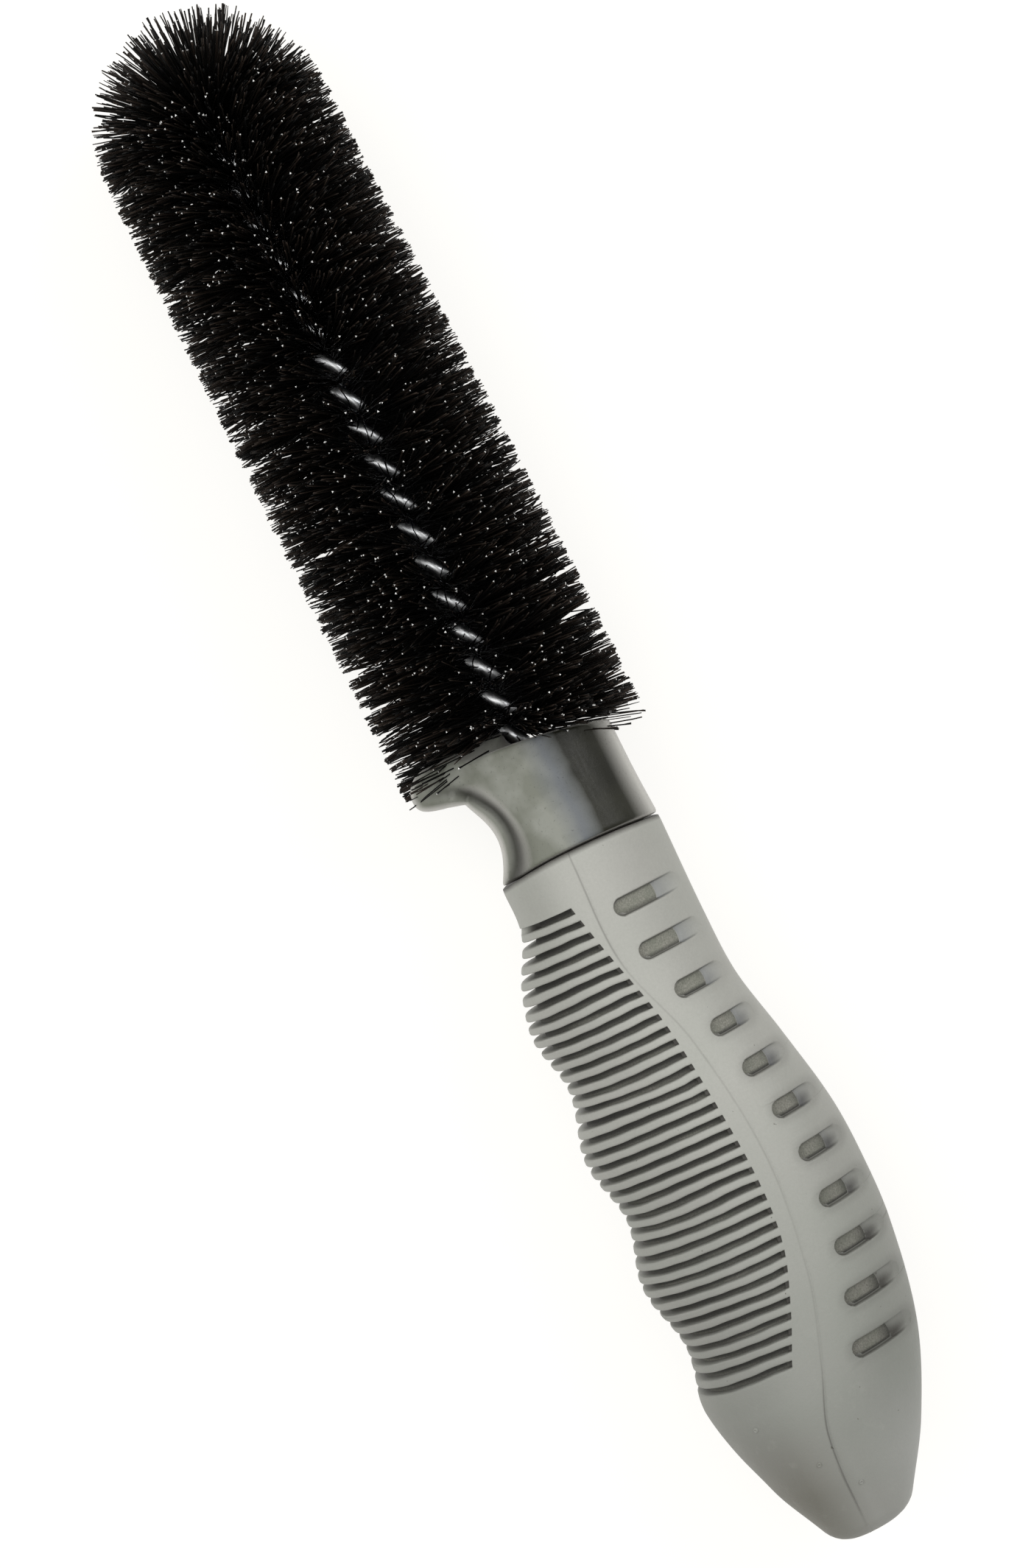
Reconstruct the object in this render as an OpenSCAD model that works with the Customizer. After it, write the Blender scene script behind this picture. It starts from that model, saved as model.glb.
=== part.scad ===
// Wheel brush: a twisted-in-wire head on a moulded handle with a finger hook.
// +X runs to the head's nose, +Y to the belly side of the handle, where the fingers lie, and +Z is up.
// The brush lies on its flank, and the origin is under its middle.

/* [Head] */
// Overall length, from the butt to the nose
brush_l = 305; // [275:1:335]
// Radius of the bristle barrel
head_r = 23.5; // [20:0.1:26]
// How far the bristles are pressed flat where the head lies
press = 0.8; // [0.4:0.1:1.5]
// Distance from the joint of collar and grip to the first bristles
head_start = 26; // [26:0.5:32]
// Diameter of the wire
wire_d = 2.7; // [2:0.1:3.2]
// Length of one full turn of the twist
wire_lay = 13.8; // [11:0.1:18]
// How far the wire's tails run into the core
wire_tail = 74; // [40:1:100]

/* [Handle] */
// Length of the grip, from the joint to the butt
grip_l = 133.5; // [120:0.5:145]
// Thickness of the soft grip over the core
grip_wall = 1.5; // [1.2:0.1:2]
// Thickness of the soft grip at the butt
butt_wall = 4; // [3:0.5:8]
// Depth of the hollows between the fingers
finger_scoop = 2.6; // [0:0.1:4]
// Spacing of the fingers
finger_pitch = 25.7; // [22:0.1:28]

/* [Fins] */
// Number of grooves between the fins
groove_count = 35; // [20:1:35]
// Spacing of the grooves
groove_pitch = 2.62; // [2.4:0.01:2.8]
// Width of a groove
groove_w = 1.2; // [0.8:0.1:1.6]
// Distance from the joint to the first groove
groove_start = 8.5; // [7.5:0.1:12]

/* [Windows] */
// Number of oval windows on each side
window_count = 11; // [5:1:11]
// Spacing of the windows
window_pitch = 8.9; // [7:0.05:9.2]
// Width of a window
window_w = 3.5; // [2.5:0.1:4.5]
// Distance from the joint to the first window
window_start = 11.6; // [10:0.1:14]

/* [Collar] */
// Radius of the finger rest under the hook
rest_r = 9.2; // [8:0.1:10]
// Width of the hook across the flanks
hook_w = 17; // [12:0.5:20]
// Clearance between the core's spigot and the collar
spigot_gap = 0.1; // [0.05:0.05:0.3]

/* [Hidden] */
$fn = 48;

axis_z = head_r - press;
butt_x = -brush_l / 2;
joint_x = butt_x + grip_l;
nose_x = brush_l / 2;
head_x = joint_x + head_start;
dome_x = nose_x - head_r;

// Outlines of the handle, as [distance from the joint, height over the axis]
crest = [[0, 14.5], [9, 15], [18, 19.4], [26, 21.6], [50, 22.8], [77, 23.5], [103, 23],
    [120, 18.4], [131, 13.2]];
back = [[0, 17.3], [20, 17], [32, 17.4], [45, 20.1], [60, 22.9], [71, 23.5], [85, 22.9], [104, 19.2],
    [120, 12.2], [131, 5.2]];
waist = [[0, 0.7], [20, 0.8], [38, -4.5], [62, -7.3], [84, -4.9], [100, 0.1], [112, 4.4], [131, 5.4]];
depth = [[0, 15.4], [30, 15.6], [75, 17], [105, 16], [120, 13.6], [131, 10]];
fin_depth = [[0, 2.8], [30, 2.6], [42, 2], [131, 1.9]];
fin_end = [[7, 4.9], [17, 2.6], [32, -1.1], [48, -3], [66, -4], [78, -2.9], [89, 1], [98, 5.1]];
window_end = [[11, -3.8], [20, -4.4], [38, -9.9], [56, -13.4], [68, -14.3], [83, -12.6], [101, -7.4]];
corner = 2.3;      // power of the section's outline, where 2 is an ellipse
full_l = 131;      // where the outlines end and the butt's rounding starts

window_z = 14;      // middle and height of the upright that cuts a window
window_h = 22;
finger_first = 26;
finger_last = finger_first + 3 * finger_pitch;
grip_steps = 30;
grip_sides = 12;
core_steps = 21;
core_sides = 10;
butt_y = 5.2;
butt_round = [[0, 0.7], [0.7, 0.88], [1.6, 0.96]];

spigot_r = 8;
spigot_l = 14;
spigot_y = -3;
spigot_half = 3;
bore_r = wire_d + 0.05;
strand_r = wire_d / 2;
strand_slack = 0.03;   // keeps the two strands from sharing a line
shoulder_r = 2;
wire_rings = 12;
wire_sides = 6;
loop_x = dome_x + 4;

hook_tip = [2.1, 17.2];
hook_tip_r = 4.3;
hook_front = 6.4;
hook_root = 2;
hook_web = 12;
rest_centre = [-10.2, 20.5];
collar_back = [[0, 17.3], [10, 16.9], [21, 16.8]];
collar_belly = [[0, 14.2], [3, 12.2], [8, 11], [14, 12], [21, 13.5]];
collar_depth = [[0, 15.2], [10, 14.8], [21, 14.4]];
rim_l = 22;
rim_lean = 0.12;

// A smooth curve through a table of [place, value] pairs
function knot(t, x) = max(0, min(len(t) - 2, len([for (p = t) if (p[0] <= x) p]) - 1));
function slope(t, i) = let (a = max(i - 1, 0), b = min(i + 1, len(t) - 1))
    (t[b][1] - t[a][1]) / (t[b][0] - t[a][0]);
function curve(t, x) = let (i = knot(t, x), h = t[i + 1][0] - t[i][0], s = (x - t[i][0]) / h)
    t[i][1] * (1 + 2 * s) * pow(1 - s, 2) + slope(t, i) * h * s * pow(1 - s, 2)
    + t[i + 1][1] * s * s * (3 - 2 * s) + slope(t, i + 1) * h * s * s * (s - 1);

// A power that keeps the sign, for superellipse sections
function bend(c) = sign(c) * pow(abs(c), 2 / corner);

// The belly's outline: the crest line with a hollow scooped between each two fingers
function scoop(u) = u < finger_first || u > finger_last ? 0
    : finger_scoop * (1 - cos(360 * (u - finger_first) / finger_pitch)) / 2;
function belly(u) = curve(crest, u) - scoop(u);

// A point of a handle section, at angle a from the belly, with the belly and the rest drawn in
function skin(u, a, belly_in, rest_in) = let (y0 = curve(waist, u))
    [joint_x - u,
     y0 + bend(cos(a)) * (cos(a) > 0 ? belly(u) - belly_in - y0 : y0 + curve(back, u) - rest_in),
     axis_z + bend(sin(a)) * (curve(depth, u) - rest_in)];

// A half section is mirrored into a closed ring
function closed(half) = concat(half, [for (i = [len(half) - 2 : -1 : 1])
    [half[i][0], half[i][1], 2 * axis_z - half[i][2]]]);

// A section of the handle at distance u, drawn in by the given walls and shrunk about the butt's middle
function section(u, steps, belly_in, rest_in, share) = let (l = min(u, full_l))
    [for (p = closed([for (k = [0 : steps]) skin(l, 180 * k / steps, belly_in, rest_in)]))
        [joint_x - u, butt_y + (p[1] - butt_y) * share, axis_z + (p[2] - axis_z) * share]];
function grip_ring(u, share = 1) = section(u, grip_sides, 0, 0, share);
function core_ring(u) = section(u, core_sides, curve(fin_depth, min(u, full_l)), grip_wall, 1);

// Rings of equal length, joined by triangles and closed by a flat cap at each end
module loft(rings) {
    n = len(rings[0]);
    last = len(rings) - 1;
    sides = [for (i = [0 : last - 1], j = [0 : n - 1]) let (k = (j + 1) % n)
        each [[i * n + j, i * n + n + j, i * n + n + k], [i * n + j, i * n + n + k, i * n + k]]];
    caps = [[for (j = [0 : n - 1]) j], [for (j = [n - 1 : -1 : 0]) last * n + j]];
    polyhedron(points = [for (r = rings) each r], faces = concat(sides, caps));
}

module along_x(x) {
    translate([x, 0, axis_z]) rotate([0, 90, 0]) children();
}

// The side on which the head lies, pressed flat
module pressed() {
    difference() {
        children();
        translate([0, -head_r, -2 * press]) cube([brush_l, 2 * head_r, 2 * press]);
    }
}

module barrel_bristles() {
    color([0.05, 0.05, 0.05]) pressed() along_x(head_x) rotate_extrude() difference() {
        square([head_r, dome_x - head_x]);
        translate([-1, -1]) square([bore_r + 1, dome_x - head_x + 2]);
        translate([head_r, 0]) circle(r = shoulder_r);
    }
}

module tip_bristles() {
    color([0.09, 0.08, 0.08]) pressed() along_x(dome_x) difference() {
        intersection() {
            sphere(r = head_r);
            cylinder(r = head_r + 1, h = head_r + 1);
        }
        translate([0, 0, -1]) cylinder(r = bore_r, h = loop_x - dome_x + strand_r + bore_r + 1);
    }
}

// The wire's centre line and its outward direction at step i: up one strand, round the loop and back
turn_steps = ceil((loop_x - joint_x + wire_tail) / wire_lay * wire_rings);
loop_steps = 6;
function strand_x(i) = loop_x - (loop_x - joint_x + wire_tail) * (1 - i / turn_steps);
function strand_a(x) = 360 * (loop_x - x) / wire_lay;
function wire_point(i) =
    i <= turn_steps ? let (x = strand_x(i), a = strand_a(x))
        [[x, strand_r * cos(a), strand_r * sin(a)], [0, cos(a), sin(a)]]
    : i < turn_steps + loop_steps ? let (f = 180 * (i - turn_steps) / loop_steps)
        [[loop_x + strand_r * sin(f), strand_r * cos(f), 0], [sin(f), cos(f), 0]]
    : let (x = strand_x(2 * turn_steps + loop_steps - i), a = strand_a(x) + 180)
        [[x, strand_r * cos(a), strand_r * sin(a)], [0, cos(a), sin(a)]];

function unit(v) = v / norm(v);

module stem_wire() {
    last = 2 * turn_steps + loop_steps;
    line = [for (i = [0 : last]) wire_point(i)];
    thin = strand_r - strand_slack;
    color([0.75, 0.76, 0.78]) translate([0, 0, axis_z]) loft([for (i = [0 : last])
        let (run = unit(line[min(i + 1, last)][0] - line[max(i - 1, 0)][0]),
            out = unit(line[i][1] - run * (run * line[i][1])), side = cross(run, out))
        [for (k = [wire_sides - 1 : -1 : 0]) let (a = 360 * k / wire_sides)
            line[i][0] + thin * (cos(a) * out + sin(a) * side)]]);
}

module spigot(gap) {
    translate([joint_x - 1, spigot_y, axis_z]) rotate([90, 0, 90]) linear_extrude(spigot_l + 1 + gap)
        union() {
            for (s = [-1, 1]) translate([0, s * spigot_half]) circle(r = spigot_r + gap);
            translate([-spigot_r - gap, -spigot_half]) square([2 * (spigot_r + gap), 2 * spigot_half]);
        }
}

module wire_bore(from, to) {
    along_x(from) cylinder(r = bore_r, h = to - from);
}

// A collar section, whose forward ones lean towards the belly side
function collar_ring(v, inset) = let (steps = 14)
    closed([for (k = [0 : steps]) let (a = 180 * k / steps, half = cos(a) > 0
        ? curve(collar_belly, v) : curve(collar_back, v), y = bend(cos(a)) * (half - inset))
        [joint_x + v + rim_lean * y * v / rim_l, y,
         axis_z + bend(sin(a)) * (curve(collar_depth, v) - inset)]]);

module hook() {
    translate([0, 0, axis_z - hook_w / 2]) linear_extrude(hook_w) difference() {
        union() {
            translate([joint_x, hook_root]) square([hook_front - joint_x, hook_web]);
            translate([hook_tip[0] - hook_tip_r, hook_root]) square([2 * hook_tip_r, hook_tip[1] - hook_root]);
            translate(hook_tip) circle(r = hook_tip_r);
        }
        translate(rest_centre) circle(r = rest_r);
    }
}

module collar() {
    color([0.16, 0.16, 0.15]) difference() {
        union() {
            loft([for (v = [[0, 0.4], [0.4, 0], [3, 0], [6, 0], [9, 0], [12, 0], [15, 0], [18, 0],
                [rim_l - 1, 0], [rim_l, 0.8]]) collar_ring(v[0], v[1])]);
            hook();
        }
        spigot(spigot_gap);
        wire_bore(joint_x, head_x + 5);
    }
}

module core_body() {
    core_l = grip_l - butt_wall;
    loft([for (k = [core_steps : -1 : 0]) core_ring(core_l * k / core_steps)]);
}

module handle_core() {
    color([0.2, 0.2, 0.19]) difference() {
        union() {
            core_body();
            spigot(0);
        }
        wire_bore(joint_x - wire_tail - 1, joint_x + spigot_l + 1);
    }
}

// An oval window that opens from the flank down to the core
module window(i, side) {
    u = window_start + i * window_pitch;
    hull() for (y = [curve(window_end, u), window_w - curve(back, u)])
        translate([joint_x - u, y, axis_z + side * window_z])
            cylinder(d = window_w, h = window_h, center = true, $fn = 16);
}

// The gap between two fins, open on the belly and both flanks
module groove(i) {
    u = groove_start + i * groove_pitch;
    translate([joint_x - u - groove_w / 2, curve(fin_end, u), 0]) cube([groove_w, head_r + 5, 2 * axis_z]);
}

module rubber_grip() {
    color([0.62, 0.63, 0.59]) difference() {
        loft(concat([for (r = butt_round) grip_ring(grip_l - r[0], r[1])],
            [for (k = [grip_steps : -1 : 0]) grip_ring(full_l * k / grip_steps)]));
        core_body();
        for (i = [0 : groove_count - 1]) groove(i);
        for (i = [0 : window_count - 1], side = [-1, 1]) window(i, side);
    }
}

tip_bristles();
barrel_bristles();
stem_wire();
collar();
handle_core();
rubber_grip();
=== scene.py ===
"""Looks of the wheel brush: smooth finned grip, moulded collar, twisted wire and thousands of filaments.

Lengths below are in millimetres, in the frame of the CAD part, and become metres when a mesh is made.
"""

import math

import bpy
import numpy as np
from mathutils import Matrix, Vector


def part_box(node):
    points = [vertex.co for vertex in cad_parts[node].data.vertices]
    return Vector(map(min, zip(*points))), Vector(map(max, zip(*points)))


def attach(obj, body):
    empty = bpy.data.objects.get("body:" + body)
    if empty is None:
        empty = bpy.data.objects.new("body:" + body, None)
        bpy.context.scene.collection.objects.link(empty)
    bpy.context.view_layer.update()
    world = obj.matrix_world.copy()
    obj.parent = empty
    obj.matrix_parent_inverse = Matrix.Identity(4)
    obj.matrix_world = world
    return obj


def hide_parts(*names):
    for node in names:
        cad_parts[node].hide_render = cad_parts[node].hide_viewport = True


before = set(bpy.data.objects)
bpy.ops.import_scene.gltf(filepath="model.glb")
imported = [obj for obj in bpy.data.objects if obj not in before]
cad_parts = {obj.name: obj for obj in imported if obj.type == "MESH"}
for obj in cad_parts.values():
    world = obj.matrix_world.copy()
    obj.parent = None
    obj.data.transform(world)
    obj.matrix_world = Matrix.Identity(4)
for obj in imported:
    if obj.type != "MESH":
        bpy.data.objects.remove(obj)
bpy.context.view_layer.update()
rng = np.random.default_rng(11)
MM = 0.001


def corners(node):
    low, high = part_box(node)
    return np.array(low) / MM, np.array(high) / MM


BARREL_LOW, BARREL_HIGH = corners("barrel_bristles")
GRIP_LOW, GRIP_HIGH = corners("rubber_grip")
HEAD_R = (BARREL_HIGH[1] - BARREL_LOW[1]) / 2
AXIS_Z = BARREL_HIGH[2] - HEAD_R
HEAD_X, DOME_X = BARREL_LOW[0], BARREL_HIGH[0]
JOINT_X, BUTT_X = GRIP_HIGH[0], GRIP_LOW[0]
GRIP_L = JOINT_X - BUTT_X

# The handle's outlines, as in the CAD part: [distance from the joint, height over the axis]
CREST = [[0, 14.5], [9, 15], [18, 19.4], [26, 21.6], [50, 22.8], [77, 23.5], [103, 23],
         [120, 18.4], [131, 13.2]]
BACK = [[0, 17.3], [20, 17], [32, 17.4], [45, 20.1], [60, 22.9], [71, 23.5], [85, 22.9], [104, 19.2],
        [120, 12.2], [131, 5.2]]
WAIST = [[0, 0.7], [20, 0.8], [38, -4.5], [62, -7.3], [84, -4.9], [100, 0.1], [112, 4.4], [131, 5.4]]
DEPTH = [[0, 15.4], [30, 15.6], [75, 17], [105, 16], [120, 13.6], [131, 10]]
FIN_DEPTH = [[0, 2.8], [30, 2.6], [42, 2], [131, 1.9]]
FIN_END = [[7, 4.9], [17, 2.6], [32, -1.1], [48, -3], [66, -4], [78, -2.9], [89, 1], [98, 5.1]]
WINDOW_END = [[11, -3.8], [20, -4.4], [38, -9.9], [56, -13.4], [68, -14.3], [83, -12.6], [101, -7.4]]
CORNER = 2.3           # power of the section's outline
FULL_L = 131.0         # where the outlines end and the butt's rounding starts
WALL = 1.5             # the soft grip's thickness on the flanks and the back
BUTT_Y = 5.2
FINGER_FIRST, FINGER_PITCH, FINGER_SCOOP = 26.0, 25.7, 2.6

GROOVES, GROOVE_START, GROOVE_PITCH, GROOVE_W = 35, 8.5, 2.62, 1.2
WINDOWS, WINDOW_START, WINDOW_PITCH, WINDOW_W = 11, 11.6, 8.9, 3.5


def curve(table, x):
    """The CAD part's smooth curve through a table of [place, value] pairs."""
    place, value = np.array(table, float).T
    last = len(place) - 1
    before = np.maximum(np.arange(last + 1) - 1, 0)
    after = np.minimum(np.arange(last + 1) + 1, last)
    slope = (value[after] - value[before]) / (place[after] - place[before])
    x = np.clip(x, place[0], place[-1])
    i = np.clip(np.searchsorted(place, x, side="right") - 1, 0, last - 1)
    h = place[i + 1] - place[i]
    s = (x - place[i]) / h
    return (value[i] * (1 + 2 * s) * (1 - s) ** 2 + slope[i] * h * s * (1 - s) ** 2
            + value[i + 1] * s * s * (3 - 2 * s) + slope[i + 1] * h * s * s * (s - 1))


def belly(u):
    scoop = FINGER_SCOOP * (1 - np.cos(2 * np.pi * (u - FINGER_FIRST) / FINGER_PITCH)) / 2
    inside = (u > FINGER_FIRST) & (u < FINGER_FIRST + 3 * FINGER_PITCH)
    return curve(CREST, u) - np.where(inside, scoop, 0)


def signed_power(c, power):
    return np.sign(c) * np.abs(c) ** power


def skin(u, angle, belly_in=0.0, rest_in=0.0):
    """(y, z) of the handle's section at distance u from the joint and at an angle from the belly."""
    u = np.minimum(u, FULL_L)
    waist, c, s = curve(WAIST, u), np.cos(angle), np.sin(angle)
    side = np.where(c > 0, belly(u) - belly_in - waist, waist + curve(BACK, u) - rest_in)
    y = waist + signed_power(c, 2 / CORNER) * side
    return y, signed_power(s, 2 / CORNER) * (curve(DEPTH, u) - rest_in)


def angle_at(u, y):
    """The angle from the belly at which the section at u has height y."""
    u = np.minimum(u, FULL_L)
    waist = curve(WAIST, u)
    share = np.where(y > waist, (y - waist) / (belly(u) - waist), (y - waist) / (waist + curve(BACK, u)))
    return np.arccos(np.clip(signed_power(share, CORNER / 2), -1, 1))


def smoothstep(low, high, x):
    t = np.clip((x - low) / (high - low), 0, 1)
    return t * t * (3 - 2 * t)


# ---------------------------------------------------------------- meshes

def new_mesh(name, points, faces, materials, body="root", replaces=(), face_material=None,
             smooth=True):
    """An object in the row frame from points in millimetres, riding on a CAD body."""
    mesh = bpy.data.meshes.new(name)
    points, faces = np.asarray(points, float) * MM, np.asarray(faces, np.int32)
    sides = faces.shape[1]
    mesh.vertices.add(len(points))
    mesh.vertices.foreach_set("co", points.astype(np.float32).ravel())
    mesh.loops.add(faces.size)
    mesh.loops.foreach_set("vertex_index", faces.ravel())
    mesh.polygons.add(len(faces))
    mesh.polygons.foreach_set("loop_start", np.arange(len(faces), dtype=np.int32) * sides)
    if face_material is not None:
        mesh.polygons.foreach_set("material_index", np.asarray(face_material, np.int32))
    mesh.update(calc_edges=True)
    mesh.validate()
    if smooth:
        mesh.shade_smooth()
    for m in materials:
        mesh.materials.append(m)
    piece = bpy.data.objects.new(name, mesh)
    bpy.context.scene.collection.objects.link(piece)
    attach(piece, body)
    if replaces:
        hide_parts(*replaces)
    return piece


def add_attribute(piece, name, values):
    piece.data.attributes.new(name, "FLOAT", "POINT").data.foreach_set("value", np.asarray(values, np.float32))


def tube_faces(rings, around):
    """Quads between rings of equal length, each ring closed."""
    i, j = np.meshgrid(np.arange(rings - 1), np.arange(around), indexing="ij")
    k = (j + 1) % around
    here, after = i * around, (i + 1) * around
    return np.stack([here + j, here + k, after + k, after + j], -1).reshape(-1, 4)


# ---------------------------------------------------------------- soft grip

FIN_ROUND = 0.42       # rounding of the fins' edges
EDGE_ROUND = 0.25      # rounding of the windows' edges
FLOOR_SHARE = 1.15     # floors lie under the core's surface, so that the core shows in them
SHELF_W = 0.8          # width of the shelf at a groove's closed end
SHELF_SHARE = 0.55     # and its depth, as a share of the groove's
RAMP_SHARE = 0.68      # share of a window's length after which its floor steps up and runs out
RAMP_STEP = 0.82       # depth of that step, as a share of the grip's thickness
WALL_SLOPE = 0.34      # width of a window's sloping wall
SEAM_HALF = 0.2        # half the width of the mould's seam
FIN_WANDER = 0.24      # how far the fins wander along the handle
JOINT_BOW = 1.5        # how far the joint's line runs towards the head on the flanks
BOW_FADE = 9.0         # distance from the joint over which that fades
JOINT_BACK = 0.12      # how far the grip's front face stands back from the joint
BELLY_COLUMNS, BACK_COLUMNS = 24, 8


def grip_rings():
    """Distances from the joint of the grip's rings, close together at each groove's and window's edges."""
    half = GROOVE_W / 2
    rings = [GROOVE_START - GROOVE_PITCH / 2]
    for i in range(GROOVES):
        middle = GROOVE_START + i * GROOVE_PITCH
        for away in (half - 0.02, half, half + 0.05, half + 0.17, half + 0.34):
            rings += [middle - away, middle + away]
        rings += [middle, middle + GROOVE_PITCH / 2]
    radius = WINDOW_W / 2
    for i in range(WINDOWS):
        middle = WINDOW_START + i * WINDOW_PITCH
        for away in (radius + 0.22, radius + 0.1, radius + 0.02, radius - 0.16, radius - WALL_SLOPE,
                     *(radius * np.sin(np.radians([50, 25])))):
            rings += [middle - away, middle + away]
        rings.append(middle)
    fine = np.array(sorted(rings))
    coarse = [u for u in np.arange(1.0, FULL_L, 0.9) if np.abs(fine - u).min() > 0.45]
    return np.array(sorted([*fine, *coarse, FULL_L]))


def window_shape(u):
    """For each ring: where the window's outline starts and ends, and how far off its middle the ring is."""
    middles = WINDOW_START + WINDOW_PITCH * np.arange(WINDOWS)
    starts = curve(WINDOW_END, middles)
    ends = WINDOW_W - curve(BACK, middles)
    nearest = np.abs(u[:, None] - middles[None]).argmin(1)
    off = u - middles[nearest]
    bulge = np.sqrt(np.maximum((WINDOW_W / 2) ** 2 - off ** 2, 0))
    waist, back = curve(WAIST, u), curve(BACK, u)
    inside = np.abs(off) <= WINDOW_W / 2
    start_share = (waist - starts[nearest] - bulge) / (waist + back)
    end_share = (waist - ends[nearest] + bulge) / (waist + back)
    start_share[~inside] = np.interp(u[~inside], u[inside], start_share[inside])
    end_share[~inside] = np.interp(u[~inside], u[inside], end_share[inside])
    start = waist - start_share * (waist + back)
    end = waist - end_share * (waist + back)
    return start, end, off, starts[nearest], ends[nearest]


def between(a, b, count):
    return [a + (b - a) * k / (count + 1) for k in range(1, count + 1)]


def half_columns(u, start, end):
    """The heights of a half section's columns between belly and back, one array for each column."""
    waist, top, fin = curve(WAIST, u), belly(u), curve(FIN_END, u)
    columns = []
    for away in (1.25, 1.0, 0.8, 0.72, 0.3, 0.14, 0.0, -0.15):
        columns.append(np.minimum(fin + away, top - 0.5))
    columns += between(columns[-1], waist + 0.5, 2)
    for away in (0.5, 0.22, 0.1, 0.0, -0.1, -0.22, -0.5):
        columns.append(waist + away)
    columns += between(columns[-1], start + 0.3, 2)
    for away in (0.3, 0.14, 0.03, -0.16, -WALL_SLOPE):
        columns.append(start + away)
    ramp = start + (end - start) * RAMP_SHARE
    columns += between(columns[-1], ramp + 0.2, 4)
    for away in (0.2, 0.0, -0.12):
        columns.append(ramp + away)
    columns += between(columns[-1], end + 0.05, 4)
    for away in (0.05, -0.1, -0.3):
        columns.append(end + away)
    return columns, fin


def wave(a, b, seed):
    """A slow, smooth wobble between -1 and 1 over two coordinates."""
    w = np.random.default_rng(seed)
    total = 0
    for k in range(4):
        fa, fb, phase = w.uniform(-1, 1), w.uniform(-1, 1), w.uniform(0, 6.28)
        total = total + np.sin(a * fa * (k + 1) + b * fb * (k + 1) + phase) / (k + 1)
    return total / 1.6


def groove_depth(u, y, inward, angle, thick):
    """How far the grooves between the fins lie under the skin."""
    index = np.clip(np.round((u - GROOVE_START) / GROOVE_PITCH), 0, GROOVES - 1)
    beside = np.abs(u - GROOVE_START - index * GROOVE_PITCH) - GROOVE_W / 2
    rounding = np.where(beside < FIN_ROUND, FIN_ROUND - np.sqrt(np.maximum(
        FIN_ROUND ** 2 - (FIN_ROUND - np.clip(beside, 0, FIN_ROUND)) ** 2, 0)), 0)
    shelf = SHELF_SHARE * smoothstep(0, 0.15, inward)
    past_shelf = SHELF_SHARE + (1 - SHELF_SHARE) * smoothstep(SHELF_W, SHELF_W + 0.2, inward)
    end_wall = np.where(angle < np.pi / 2, np.where(inward < SHELF_W, shelf, past_shelf), 0)
    depth = np.where((beside < -0.01)[:, None], FLOOR_SHARE * thick, rounding[:, None]) * end_wall
    first_groove_out = smoothstep(15.2, 13.0, y)
    depth = np.where((index == 0)[:, None], depth * first_groove_out, depth)
    return np.where((u < GROOVE_START - GROOVE_W / 2)[:, None], 0, depth)


def window_depth(y, thick, start, end, off, first, last):
    """How far the windows lie under the skin, with how far inside an outline each point is and its run-out."""
    along = np.clip(y, last[:, None], first[:, None])
    gap = WINDOW_W / 2 - np.hypot(off[:, None], y - along)
    lip = np.clip(gap + EDGE_ROUND, 0, EDGE_ROUND)
    lip = EDGE_ROUND - np.sqrt(np.maximum(EDGE_ROUND ** 2 - lip ** 2, 0))
    share = (start[:, None] - y) / (start - end)[:, None]
    run_out = np.clip((share - RAMP_SHARE) / (1 - RAMP_SHARE), 0, 1)
    floor = np.where(share < RAMP_SHARE + 0.005, FLOOR_SHARE, RAMP_STEP * (1 - run_out ** 2.4))
    wall = np.clip(gap / WALL_SLOPE, 0, 1)
    lip_fade = np.clip((1.02 - share) / 0.3, 0, 1)
    return np.where(gap > 0.0, floor * thick * wall, lip * lip_fade), gap, run_out


def seam_height(u, y):
    """Height of the fine raised line where the mould's halves met."""
    height = 0.11 + 0.05 * wave(u * 0.3, 0, 3) + 0.12 * smoothstep(98, 112, u) + 0.05 * (u < 22)
    return height * np.clip(1 - np.abs(y - curve(WAIST, u)) / SEAM_HALF, 0, 1) * (u > 2)


def grime_and_painted_shade(u, y, angle, groove_share, off, gap, run_out):
    """How much grime and painted shade, and how much painted cool reflection, each point of the skin gets, from
    0 to 1.
    """
    on_back = angle > np.pi / 2
    # painted shade with some grime: the grooves between the fins, the windows' walls and the windows' deep ends
    # are darkened, most at the butt-side wall
    in_groove = smoothstep(0.1, 0.7, groove_share)
    on_wall = smoothstep(0.0, 0.12, gap) * smoothstep(1.5, 0.5, gap / WALL_SLOPE)
    in_ramp = (gap > 0.05) * (run_out > 0)
    low_side = 0.45 + 0.55 * smoothstep(-1.2, 0.9, off)[:, None]
    on_ramp = (0.1 + 0.9 * smoothstep(12, 50, u)) * (1 - run_out ** 2) * low_side
    in_window = np.maximum(on_wall * (1 - run_out) ** 0.6 * 0.85, in_ramp * on_ramp) * on_back
    beside_seam = np.exp(-((y - curve(WAIST, u) - 0.22) / 0.14) ** 2)
    beside_seam = beside_seam * (0.15 + 0.45 * smoothstep(96, 108, u) + 0.25 * smoothstep(24, 16, u))
    smudge_and_shade = 0.17 * smoothstep(-1.8, -0.1, gap) * smoothstep(15, 55, u) * on_back
    # painted shade: the flanks are darkened away from the crown, towards the belly and the back
    off_crown = np.abs(signed_power(np.cos(angle), 2 / CORNER))
    off_crown_shade = 0.2 * smoothstep(0.1, 0.65, off_crown) * smoothstep(125, 100, u)
    dirt_and_shade = np.maximum.reduce([in_groove, in_window, beside_seam, smudge_and_shade + off_crown_shade])
    # the second value is a painted cool reflection on the windows' sloping ends
    return dirt_and_shade, in_ramp * (1 - run_out) * on_back * smoothstep(100, 20, u)


def both_halves(half, sign=1):
    """Whole sections from half ones that run from the belly to the back."""
    return np.concatenate([half, sign * half[:, -2:0:-1]], 1)


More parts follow.
